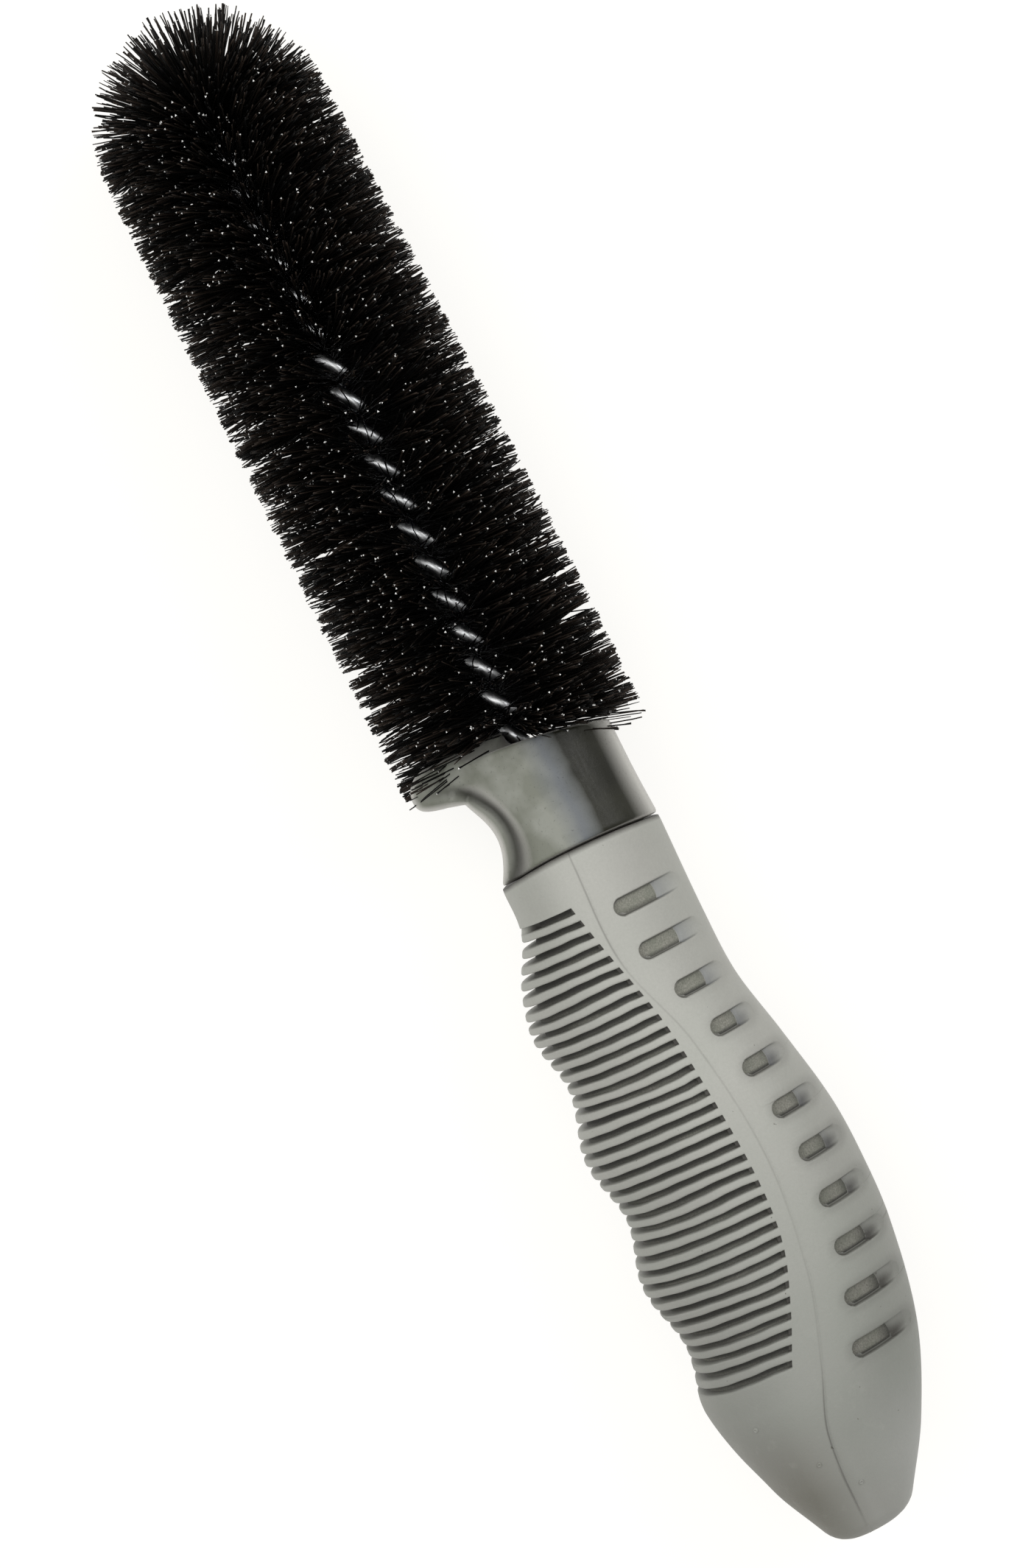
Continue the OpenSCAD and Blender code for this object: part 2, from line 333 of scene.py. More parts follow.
def front_rings(edge, angle):
    """The front face: the ring round its opening and the one at its outer edge."""
    y, z = skin(np.full((1, len(angle)), 0.5), angle[None], 3.2, WALL + 0.5)
    x = JOINT_X - JOINT_BACK + JOINT_BOW * (edge[:, 2] / DEPTH[0][1]) ** 2
    opening = np.stack([x, both_halves(y)[0], both_halves(z, -1)[0]], -1)
    rim = 0.03 * opening + 0.97 * edge
    rim[:, 0] = x
    return np.stack([opening, rim])


def butt_rings(edge):
    """Rings that round off the butt and close it."""
    rises = [0.3, 0.55, 0.75, 0.9, 0.98, 1.0]
    shares = [1 - 0.14 * rise - 0.24 * (1 - math.sqrt(1 - rise ** 2)) for rise in rises]
    rings = []
    for rise, share in zip(rises + [1.0] * 3, shares + [0.5, 0.25, 0.02]):
        x = np.full(len(edge), JOINT_X - FULL_L - (GRIP_L - FULL_L) * rise)
        rings.append(np.stack([x, BUTT_Y + (edge[:, 1] - BUTT_Y) * share, edge[:, 2] * share], -1))
    return np.stack(rings)


def build_grip(material):
    """The soft skin: a grid of points on the handle's sections, pressed in at grooves and windows."""
    u = grip_rings()
    start, end, off, first, last = window_shape(u)
    heights, fin = half_columns(u, start, end)
    flank = np.stack([angle_at(u, y) for y in heights], 1)
    head = flank[:, :1] * np.arange(BELLY_COLUMNS)[None] / BELLY_COLUMNS
    tail = flank[:, -1:] + (np.pi - flank[:, -1:]) * np.arange(1, BACK_COLUMNS + 1)[None] / BACK_COLUMNS
    angle = np.maximum.accumulate(np.concatenate([head, flank, tail], 1), 1)
    grid_u = np.broadcast_to(u[:, None], angle.shape)
    y, z = skin(grid_u, angle)
    core_y, core_z = skin(grid_u, angle, curve(FIN_DEPTH, grid_u), WALL)
    thick = np.hypot(core_y - y, core_z - z)

    inward = y - fin[:, None]
    groove = groove_depth(u, y, inward, angle, thick)
    window, gap, run_out = window_depth(y, thick, start, end, off, first, last)
    window = np.where(angle > np.pi / 2, window, 0)
    drop = groove + window - seam_height(grid_u, y)
    y, z = y + (core_y - y) / thick * drop, z + (core_z - z) / thick * drop
    wander = FIN_WANDER * wave(y * 0.3, grid_u * 0.28, 5) * smoothstep(0, 4, inward) * smoothstep(4, 12, grid_u)
    wander = np.where(angle < np.pi / 2, wander, 0)
    bow = JOINT_BOW * np.clip(1 - grid_u / BOW_FADE, 0, 1) ** 1.5 * (z / curve(DEPTH, grid_u)) ** 2
    x = JOINT_X - grid_u + wander + bow
    dirt_and_shade, ramp_reflection = grime_and_painted_shade(grid_u, y, angle, groove / thick, off, gap, run_out)

    body = np.stack([both_halves(x), both_halves(y), both_halves(z, -1)], -1)
    front = front_rings(body[0], angle[0])
    grid = np.concatenate([front, body, butt_rings(body[-1])])
    around = grid.shape[1]
    points = grid.reshape(-1, 3) + [0, 0, AXIS_Z]
    piece = new_mesh("rubber_skin", points, tube_faces(len(grid), around)[:, ::-1], [material],
                     replaces=["rubber_grip"])
    # the first attribute carries grime and painted shade, with the front face at the joint fully dark; the
    # second carries a painted cool reflection
    for name, values, in_joint in (("dirt_and_shade", dirt_and_shade, 1.0), ("ramp_reflection", ramp_reflection, 0.0)):
        whole = np.zeros((len(grid), around))
        whole[:len(front)] = in_joint
        whole[len(front):len(front) + len(u)] = both_halves(values)
        add_attribute(piece, name, whole.ravel())


# The mould's pips: [distance from the joint, height], and their profile as [radius, rise]
PIPS = [[106.2, 15.9], [116.3, 8.4], [122.7, 3.0]]
PIP_PROFILE = [[0.48, -0.1], [0.46, 0.1], [0.36, 0.24], [0.26, 0.24], [0.2, 0.16], [0.02, 0.14]]


def build_pips(material):
    """Small round marks of the mould's pins, on both flanks near the butt."""
    points, faces = [], []
    around = np.radians(np.arange(0, 360, 30))
    for u, y in PIPS:
        angle = angle_at(np.array(u), np.array(y))
        for side in (1, -1):
            base = np.array([JOINT_X - u, y, side * skin(np.array(u), angle)[1]])
            near_y, near_z = skin(np.array([u, u, u + 0.5]), angle + np.array([0, 0.02, 0]))
            across = np.array([0, near_y[1] - near_y[0], side * (near_z[1] - near_z[0])])
            along = np.array([-0.5, near_y[2] - near_y[0], side * (near_z[2] - near_z[0])])
            across, along = across / np.linalg.norm(across), along / np.linalg.norm(along)
            out = np.cross(along, across)
            out *= np.sign(out[2]) * side
            ring_faces = tube_faces(len(PIP_PROFILE), len(around)) + len(points) * len(around)
            turned = np.dot(np.cross(along, across), out) < 0
            faces.append(ring_faces[:, ::-1] if turned else ring_faces)
            for radius, rise in PIP_PROFILE:
                ray = np.cos(around)[:, None] * along + np.sin(around)[:, None] * across
                points.append(base + rise * out + radius * ray)
    new_mesh("mould_pips", np.concatenate(points) + [0, 0, AXIS_Z], np.concatenate(faces), [material])


def from_nearest(u, start, pitch):
    """Distance from the nearest of a row's middles, growing towards the butt."""
    return np.mod(u - start + pitch / 2, pitch) - pitch / 2


def build_core(material):
    """The hard core that shows in the windows and between the fins, darker where dirt and shade gather."""
    u = np.concatenate([[0.25], np.arange(0.7, 129.4, 0.3), [129.5]])
    angle = np.linspace(0, 2 * np.pi, 121)[:-1]
    grid_u, grid_a = np.meshgrid(u, angle, indexing="ij")
    y, z = skin(grid_u, grid_a, curve(FIN_DEPTH, grid_u), WALL)
    grid = np.stack([JOINT_X - grid_u, y, z], -1)
    front = grid[:1] * [1, 0.55, 0.55] + [0.1, 0, 0]
    grid = np.concatenate([front, grid, grid[-1:] * [1, 0.05, 0.05]])
    points = grid.reshape(-1, 3) + [0, 0, AXIS_Z]
    piece = new_mesh("core_shell", points, tube_faces(len(grid), len(angle))[:, ::-1], [material],
                     replaces=["handle_core"])

    under_fins = smoothstep(-0.6, 0.2, y - curve(FIN_END, grid_u))
    in_groove = from_nearest(grid_u, GROOVE_START, GROOVE_PITCH)
    lit = smoothstep(-0.1, 0.6, in_groove) * (0.25 + 0.35 * wave(grid_u * 0.9, y * 0.25, 14) ** 2)
    window_start = curve(WINDOW_END, grid_u)
    window_l = window_start - WINDOW_W + curve(BACK, grid_u)
    far_end = smoothstep(0.3, 0.75, (window_start - y) / window_l)
    in_window = from_nearest(grid_u, WINDOW_START, WINDOW_PITCH)
    butt_wall = 0.9 * smoothstep(0.5, 1.35, in_window) * smoothstep(-10, 35, grid_u)
    head_wall = 0.5 * smoothstep(-1.1, -1.6, in_window)
    shade = np.maximum.reduce([
        (0.92 - lit) * under_fins,
        (0.3 + 0.6 * far_end) * smoothstep(0, 95, grid_u),
        np.maximum(butt_wall, head_wall) * (1 - under_fins),
    ])
    add_attribute(piece, "shade", np.concatenate([shade[:1], shade, shade[-1:]]).ravel())


# ---------------------------------------------------------------- collar

COLLAR_BACK = [[0, 17.3], [10, 16.9], [21, 16.8]]
COLLAR_BELLY = [[0, 14.2], [3, 12.2], [8, 11], [14, 12], [21, 13.5]]
COLLAR_DEPTH = [[0, 15.2], [10, 14.8], [21, 14.4]]
RIM_L = 22.0
RIM_LEAN = 0.12
RIM_BOW = 1.2          # how far the rim's line runs towards the head on the flanks
HOOK_TIP, HOOK_TIP_R, HOOK_FRONT, HOOK_W = (2.3, 17.5), 4.7, 6.4, 17.0
REST, REST_R = (-10.2, 20.5), 9.2      # the finger rest's middle and radius
BEAD = 3.1             # width of the bead along the finger rest
CREASE = 1.0           # depth of the crease beside it
JOINT_GAP = 0.4
BORE_R = 2.75
RIM_ROUND, HOOK_ROUND, HOOK_FILLET, REST_ROUND, JOINT_ROUND, BORE_ROUND = 1.4, 4.5, 3.0, 3.2, 0.7, 0.3
COLLAR_STEP = 0.26     # size of the cells from which its mesh is made


def smooth_max(a, b, r):
    h = np.clip(0.5 + 0.5 * (a - b) / r, 0, 1)
    return b + (a - b) * h + r * h * (1 - h)


def smooth_min(a, b, r):
    return -smooth_max(-a, -b, r)


def box_distance(x, y, x0, x1, y0, y1):
    dx, dy = np.maximum(x0 - x, x - x1), np.maximum(y0 - y, y - y1)
    return np.hypot(np.maximum(dx, 0), np.maximum(dy, 0)) + np.minimum(np.maximum(dx, dy), 0)


def crease_share(x, y, z):
    """How deep in the crease beside the finger rest's bead a place is, from 0 to 1."""
    rest = np.hypot(x - REST[0], y - REST[1])
    width = 1.1 + 0.7 * smoothstep(-6, JOINT_X, x)
    bead = BEAD + 0.7 * smoothstep(-4, 2, x)
    share = np.exp(-((rest - REST_R - bead) / width) ** 2) * smoothstep(3, 6, np.abs(z))
    return share * smoothstep(4.0, -1, x)


def collar_field(x, y, z):
    """Distance to the collar's surface in millimetres, negative inside."""
    v = (x - JOINT_X) / (1 + RIM_LEAN * y / RIM_L)
    half = np.where(y > 0, curve(COLLAR_BELLY, v), curve(COLLAR_BACK, v))
    depth = curve(COLLAR_DEPTH, v)
    q = ((np.abs(y) / half) ** CORNER + (np.abs(z) / depth) ** CORNER) ** (1 / CORNER)
    body = np.hypot(y, z) * (1 - 1 / np.maximum(q, 0.05))
    flank = (z / COLLAR_DEPTH[0][1]) ** 2
    body = smooth_max(body, v - RIM_L - RIM_BOW * flank, RIM_ROUND)
    tip = np.hypot(x - HOOK_TIP[0], y - HOOK_TIP[1]) - HOOK_TIP_R
    plate = np.minimum(tip, box_distance(x, y, JOINT_X, HOOK_FRONT, 2, 14))
    behind, ahead = HOOK_TIP[0] - HOOK_TIP_R, HOOK_TIP[0] + HOOK_TIP_R
    plate = np.minimum(plate, box_distance(x, y, behind, ahead, 2, HOOK_TIP[1]))
    hook = smooth_max(plate, np.abs(z) - HOOK_W / 2, HOOK_ROUND)
    whole = smooth_min(body, hook, HOOK_FILLET)
    rest = np.hypot(x - REST[0], y - REST[1])
    whole = smooth_max(whole, REST_R - rest, REST_ROUND) + CREASE * crease_share(x, y, z)
    whole = smooth_max(whole, JOINT_X + JOINT_GAP + JOINT_BOW * flank - x, JOINT_ROUND)
    return smooth_max(whole, BORE_R - np.hypot(y, z), BORE_ROUND)


def surface_nets(field, low, step):
    """A quad mesh of the zero surface of a field sampled on a grid."""
    shape = np.array(field.shape)
    total = np.zeros((*(shape - 1), 3), np.float32)
    count = np.zeros(shape - 1, np.int8)
    inside = field < 0
    for axis in range(3):
        others = [a for a in range(3) if a != axis]
        for da in (0, 1):
            for db in (0, 1):
                take = [None] * 3
                take[axis] = slice(0, shape[axis] - 1)
                for a, d in zip(others, (da, db)):
                    take[a] = slice(d, shape[a] - 1 + d)
                far = list(take)
                far[axis] = slice(1, shape[axis])
                a, b = field[tuple(take)], field[tuple(far)]
                cross = inside[tuple(take)] != inside[tuple(far)]
                t = np.where(cross, a / np.where(cross, a - b, 1), 0)
                total[..., axis] += t
                total[..., others[0]] += cross * da
                total[..., others[1]] += cross * db
                count += cross
    cells = np.argwhere(count > 0)
    where = tuple(cells.T)
    points = low + (cells + total[where] / count[where][:, None]) * step
    number = np.full(shape - 1, -1, np.int64)
    number[where] = np.arange(len(cells))
    faces = []
    for axis in range(3):
        b, c = [(axis + 1) % 3, (axis + 2) % 3]
        near, far = [slice(None)] * 3, [slice(None)] * 3
        near[axis], far[axis] = slice(0, shape[axis] - 1), slice(1, shape[axis])
        for k in (b, c):
            near[k] = far[k] = slice(1, shape[k] - 1)
        change = inside[tuple(near)].astype(np.int8) - inside[tuple(far)].astype(np.int8)
        at = np.argwhere(change != 0)
        sign = change[tuple(at.T)]
        at[:, b] += 1
        at[:, c] += 1
        quad = []
        for db, dc in ((0, 0), (1, 0), (1, 1), (0, 1)):
            cell = at.copy()
            cell[:, b] -= db
            cell[:, c] -= dc
            quad.append(number[tuple(cell.T)])
        quad = np.stack(quad, 1)
        quad[sign < 0] = quad[sign < 0][:, ::-1]
        faces.append(quad)
    return points, np.concatenate(faces)


def build_collar(material):
    low = np.array([JOINT_X - 1, -19.0, -17.0])
    high = np.array([HOOK_FRONT + 3, 24.0, 17.0])
    x, y, z = [np.arange(a, b, COLLAR_STEP) for a, b in zip(low, high)]
    field = collar_field(*np.meshgrid(x, y, z, indexing="ij"))
    points, faces = surface_nets(field.astype(np.float32), low, COLLAR_STEP)
    piece = new_mesh("collar_moulding", points + [0, 0, AXIS_Z], faces, [material],
                     replaces=["collar"])
    # painted shade: the crease beside the bead is darkened
    add_attribute(piece, "dirt_and_shade", crease_share(*points.T))


# ---------------------------------------------------------------- wire and filaments

WIRE_D, WIRE_LAY, WIRE_TAIL = 2.7, 13.8, 74.0
WIRE_RINGS, WIRE_SIDES = 44, 16        # rings to a full turn of the twist, and points to a ring
STRAND_SLACK = 0.03    # keeps the two strands apart
LOOP_X = DOME_X + 4
NOSE_LEAN = 1.0        # how far the head leans to the belly side at its nose
NOSE_SLIM = 0.045      # how much slimmer it is there


def strand_angle(x):
    return 2 * np.pi * (LOOP_X - x) / WIRE_LAY


def bend_head(points):
    """The head leans and slims a little towards its nose."""
    share = smoothstep(HEAD_X + 15, DOME_X + 5, points[..., 0])
    slim = 1 - NOSE_SLIM * share
    return np.stack([points[..., 0], points[..., 1] * slim + NOSE_LEAN * share, points[..., 2] * slim], -1)


def build_wire(material):
    """Both strands of the twisted wire and the loop that joins them at the nose."""
    radius = WIRE_D / 2
    x = np.arange(JOINT_X - WIRE_TAIL, LOOP_X, WIRE_LAY / WIRE_RINGS)
    a = strand_angle(x)
    up = np.stack([x, radius * np.cos(a), radius * np.sin(a)], 1)
    loop = np.radians(np.arange(0, 181, 12))
    over = np.stack([LOOP_X + radius * np.sin(loop), radius * np.cos(loop), 0 * loop], 1)
    line = np.concatenate([up, over, (up * [1, -1, -1])[::-1]])
    run = np.gradient(line, axis=0)
    run /= np.linalg.norm(run, axis=1)[:, None]
    out = line * [0, 1, 1]
    out[len(up):len(up) + len(over), 0] = radius * np.sin(loop)
    out -= run * (out * run).sum(1)[:, None]
    out /= np.linalg.norm(out, axis=1)[:, None]
    side = np.cross(run, out)
    around = (2 * np.pi * np.arange(WIRE_SIDES) / WIRE_SIDES)[None, :, None]
    ring = np.cos(around) * out[:, None] + np.sin(around) * side[:, None]
    grid = line[:, None] + (radius - STRAND_SLACK) * ring
    points = bend_head(grid.reshape(-1, 3)) + [0, 0, AXIS_Z]
    new_mesh("twisted_wire", points, tube_faces(len(grid), WIRE_SIDES), [material],
             replaces=["stem_wire"])


FILAMENTS = 17000      # filaments of full length along the barrel
INNER_FILAMENTS = 6000     # shorter ones that fill the middle
NOSE_FILAMENTS = 1250  # and those that fan out from the loop
NOSE_STOUT = 1.15      # how much thicker the filaments are at the nose
FILAMENT_D = 0.29
PROUD = 0.25           # how far the longest filaments pass the barrel's radius
HEAD_START = HEAD_X - 1.8
LOW_END = 9.0          # length at the collar over which the filaments splay over it
TUFT, LOCK = 2.6, 7.0  # sizes of the small and the large cells in which tips gather
GLINT = 0.6            # how steeply a strand crosses the top of the twist
PAINTED_GLINT_SHARE = 0.13           # share of the filaments whose cut end is painted pale as a glint
FLARE = 1.55           # and how much wider such an end is
PIECE_COUNT = 10000    # most filaments in one piece
ALONG = (0, 0.35, 0.85, 1.0)       # where a filament's rings lie along it
SIDES = 3
POINTS_EACH = len(ALONG) * SIDES


def clump(along, round_it, size, pull, seed):
    """Moves each place part of the way to a seeded centre in its own cell, so that tips gather in tufts."""
    cells = 512
    centres = np.random.default_rng(seed).uniform(0.2, 0.8, (cells, cells, 2))
    a, b = np.floor(along / size).astype(int), np.floor(round_it / size).astype(int)
    centre = centres[a % cells, b % cells]
    return (along + pull * ((a + centre[..., 0]) * size - along),
            round_it + pull * ((b + centre[..., 1]) * size - round_it))


def filaments(root, middle, tip, width, taper):
    """Three-sided filaments bent through a middle point, each with a cap at its tip."""
    count = len(root)
    line = np.stack([root, 0.3 * root + 0.7 * middle, 0.15 * middle + 0.85 * tip, tip], 1)
    run = tip - root
    run /= np.linalg.norm(run, axis=1)[:, None]
    side = np.cross(run, [0.31, 0.52, 0.79])
    side /= np.linalg.norm(side, axis=1)[:, None]
    up = np.cross(run, side)
    turn = rng.uniform(0, 2.1, count)
    share = np.ones((count, len(ALONG)))
    share[:, -1] = taper
    grid = np.zeros((count, len(ALONG), SIDES, 3))
    for k in range(SIDES):
        a = turn + 2 * math.pi * k / SIDES
        arm = np.cos(a)[:, None] * side + np.sin(a)[:, None] * up
        grid[:, :, k] = line + arm[:, None] * (width[:, None] / 2 * share)[..., None]
    quads = tube_faces(len(ALONG), SIDES)
    cap = np.arange(POINTS_EACH - SIDES, POINTS_EACH)
    tris = np.concatenate([quads[:, [0, 1, 2]], quads[:, [0, 2, 3]], [cap]])
    faces = (tris[None] + (np.arange(count) * POINTS_EACH)[:, None, None]).reshape(-1, 3)
    is_cap = np.tile(np.arange(len(tris)) == len(tris) - 1, (count, 1))
    return grid.reshape(-1, 3), faces, is_cap


def hides_wire(root, middle, tip):
    """Whether a filament stands between the camera and a strand where it crosses the top of the twist."""
    found = np.zeros(len(root), bool)
    for share in np.linspace(0.1, 1, 10):
        p = root * (1 - share) ** 2 + 2 * middle * share * (1 - share) + tip * share ** 2
        spread = CAMERA_AWAY / (CAMERA_AWAY - p[:, 2])
        x = CAMERA_AIM[0] + (p[:, 0] - CAMERA_AIM[0]) * spread
        y = CAMERA_AIM[1] + (p[:, 1] - CAMERA_AIM[1]) * spread
        turn = np.mod(strand_angle(x), math.pi) - math.pi / 2
        along = -turn * WIRE_LAY / (2 * math.pi)
        found |= (np.abs(along) < 2.6) & (np.abs(y - GLINT * along) < 1.7) & (p[:, 2] > 0.5)
    return found


def spoke(x, radius, angle):
    return np.stack([x, radius * np.cos(angle), radius * np.sin(angle)], 1)


def barrel_lines():
    """Roots and tips of filaments clamped between the strands, in the two directions that these leave open."""
    n = FILAMENTS
    x = np.where(rng.random(n) < 0.04, rng.uniform(HEAD_START, HEAD_X + 2, n),
                 rng.uniform(HEAD_START, LOOP_X - 0.5, n))
    spread = rng.normal(0, math.radians(17), n)
    around = strand_angle(x) + math.pi / 2 + math.pi * (rng.random(n) < 0.5) + spread
    lean = rng.normal(0, 2.0, n)
    low = x < HEAD_X + LOW_END
    splay = np.where(np.cos(around) < 0, 0.6, 0.25)
    lean[low] = 0.5 * lean[low] - (rng.random(n) ** 2 * (HEAD_X + LOW_END - x) * splay)[low]
    arc = (around + rng.normal(0, math.radians(15), n)) * HEAD_R
    tip_x, arc = clump(x + lean, arc, TUFT, rng.uniform(0.1, 0.75, n), 21)
    tip_x, arc = clump(tip_x, arc, LOCK, rng.uniform(0.0, 0.3, n), 22)
    trim = 0.35 * rng.random(n) + 1.0 * np.abs(wave(tip_x * 0.9, arc * 0.7, 8)) * rng.random(n)
    trim += 6.0 * (rng.random(n) < 0.35) * rng.random(n)
    radius = HEAD_R + PROUD - trim
    over = np.maximum(tip_x - DOME_X, 0)
    in_dome = np.sqrt(np.maximum(radius ** 2 - over ** 2, 1))
    radius = np.where(over > 0, np.minimum(radius, in_dome), radius)
    return spoke(x, rng.uniform(1.0, 2.4, n), around), spoke(tip_x, radius, arc / HEAD_R)


def inner_lines():
    n = INNER_FILAMENTS
    x = rng.uniform(HEAD_X - 1.5, LOOP_X - 1, n)
    around = rng.uniform(0, 2 * math.pi, n)
    reach = rng.uniform(8, 18, n)
    tip_x = np.minimum(x + rng.normal(0, 2.5, n), LOOP_X + 6)
    return spoke(x, 1.6, around), spoke(tip_x, reach, around)


def nose_lines():
    n = NOSE_FILAMENTS
    polar = np.arccos(1 - rng.random(n) ** 0.85)
    turn = rng.uniform(0, 2 * math.pi, n)
    polar, arc = clump(polar * HEAD_R, turn * HEAD_R * np.sin(polar), 2.2, rng.uniform(0.1, 0.85, n), 23)
    polar = np.minimum(polar / HEAD_R, math.pi / 2)
    turn = arc / (HEAD_R * np.maximum(np.sin(polar), 0.1))
    reach = HEAD_R - 0.1 - rng.random(n) ** 1.5 * 4.5
    root = spoke(LOOP_X - rng.uniform(0, 5, n), 1.5 * np.sin(polar), turn)
    return root, spoke(DOME_X + reach * np.cos(polar), reach * np.sin(polar), turn)


def build_bristles(material, speck):
    """All filaments, but for most of those that would hide the wire's glints from the camera."""
    lines = [barrel_lines(), inner_lines(), nose_lines()]
    root, tip = [np.concatenate(ends) for ends in zip(*lines)]
    length = np.linalg.norm(tip - root, axis=1)
    middle = (root + tip) / 2 + rng.normal(0, 0.03, (len(root), 3)) * length[:, None]
    tip[:, 2] = np.maximum(tip[:, 2], 0.25 - AXIS_Z)
    turn_number = np.floor((LOOP_X - root[:, 0]) / WIRE_LAY * 2).astype(int)
    luck = rng.uniform(0.02, 0.2, turn_number.max() + 1)[turn_number]
    stays = rng.random(len(root)) < luck + 0.7 * smoothstep(HEAD_X + 72, HEAD_X + 84, root[:, 0])
    kept = stays | ~hides_wire(root, middle, tip)
    at_nose = (np.arange(len(root)) >= FILAMENTS + INNER_FILAMENTS)[kept]
    root, middle, tip = [bend_head(part[kept]) for part in (root, middle, tip)]
    width = FILAMENT_D * rng.uniform(0.75, 1.15, len(root)) * np.where(at_nose, NOSE_STOUT, 1)
    glint_painted = rng.random(len(root)) < PAINTED_GLINT_SHARE
    taper = np.where(glint_painted, FLARE, rng.uniform(0.55, 1.0, len(root)))
    tone = rng.random(len(root))

    barrel = np.flatnonzero(~at_nose)
    count = math.ceil(len(barrel) / PIECE_COUNT)
    pieces = [(f"barrel_filaments_{i + 1}", "barrel_bristles", barrel[i::count]) for i in range(count)]
    pieces.append(("nose_filaments", "tip_bristles", np.flatnonzero(at_nose)))
    for name, node, pick in pieces:
        points, faces, is_cap = filaments(root[pick], middle[pick], tip[pick], width[pick], taper[pick])
        # the caps of these filaments get the painted glint colour
        painted_glint_faces = (is_cap & glint_painted[pick][:, None]).ravel()
        piece = new_mesh(name, points + [0, 0, AXIS_Z], faces, [material, speck],
                         replaces=[node], face_material=painted_glint_faces, smooth=False)
        add_attribute(piece, "tone", np.repeat(tone[pick], POINTS_EACH))
        add_attribute(piece, "along", np.tile(np.repeat(ALONG, SIDES), len(pick)))


# ---------------------------------------------------------------- materials

class Nodes:
    """Short ways to add and join a material's shader nodes."""

    def __init__(self, name, specular=0.5):
        self.material = bpy.data.materials.new(name)
        self.material.use_nodes = True
        self.tree = self.material.node_tree
        self.shader = self.tree.nodes["Principled BSDF"]
        self.shader.inputs["Specular IOR Level"].default_value = specular
        self.place = self.add("ShaderNodeTexCoord").outputs["Object"]

    def add(self, kind, **settings):
        node = self.tree.nodes.new(kind)
        for key, value in settings.items():
            setattr(node, key, value)
        return node

    def link(self, source, target):
        self.tree.links.new(source, target)

    def noise(self, size_mm, detail=3.0, rough=0.6, stretch=(1, 1, 1)):
        mapping = self.add("ShaderNodeMapping")
        mapping.inputs["Scale"].default_value = [s / (size_mm * MM) for s in stretch]
        self.link(self.place, mapping.inputs["Vector"])
        node = self.add("ShaderNodeTexNoise")
        node.inputs["Scale"].default_value = 1.0
        node.inputs["Detail"].default_value = detail
        node.inputs["Roughness"].default_value = rough
        self.link(mapping.outputs["Vector"], node.inputs["Vector"])
        return node.outputs["Fac"]

    def ramp(self, value, low, high, to=(0.0, 1.0)):
        node = self.add("ShaderNodeMapRange")
        node.clamp = True
        for key, number in zip(("From Min", "From Max", "To Min", "To Max"), (low, high, *to)):
            node.inputs[key].default_value = number
        self.link(value, node.inputs["Value"])
        return node.outputs["Result"]

    def mix(self, factor, a, b):
        """A colour between a and b, each a colour or a socket."""
        node = self.add("ShaderNodeMix", data_type="RGBA")
        for key, value in ((6, a), (7, b)):
            if isinstance(value, (tuple, list)):
                node.inputs[key].default_value = (*value, 1)
            else:
                self.link(value, node.inputs[key])
        if isinstance(factor, (int, float)):
            node.inputs[0].default_value = factor
        else:
            self.link(factor, node.inputs[0])
        return node.outputs[2]

    def math(self, operation, a, b):
        node = self.add("ShaderNodeMath", operation=operation)
        for key, value in ((0, a), (1, b)):
            if isinstance(value, (int, float)):
                node.inputs[key].default_value = value
            else:
                self.link(value, node.inputs[key])
        return node.outputs[0]

    def attribute(self, name):
        return self.add("ShaderNodeAttribute", attribute_name=name).outputs["Fac"]

    def axis(self, letter):
        node = self.add("ShaderNodeSeparateXYZ")
        self.link(self.place, node.inputs[0])
        return node.outputs[letter]

    def ramp_mm(self, value, low, high, to=(0.0, 1.0)):
        return self.ramp(value, low * MM, high * MM, to)

    def finish(self, colour, rough):
        """Sets the colour and the roughness, which is a number or a socket."""
        self.link(colour, self.shader.inputs["Base Color"])
        if isinstance(rough, (int, float)):
            self.shader.inputs["Roughness"].default_value = rough
        else:
            self.link(rough, self.shader.inputs["Roughness"])
        return self.material

    def bump(self, height, depth_mm, strength=1.0):
        node = self.add("ShaderNodeBump")
        node.inputs["Distance"].default_value = depth_mm * MM
        node.inputs["Strength"].default_value = strength
        self.link(height, node.inputs["Height"])
        self.link(node.outputs["Normal"], self.shader.inputs["Normal"])


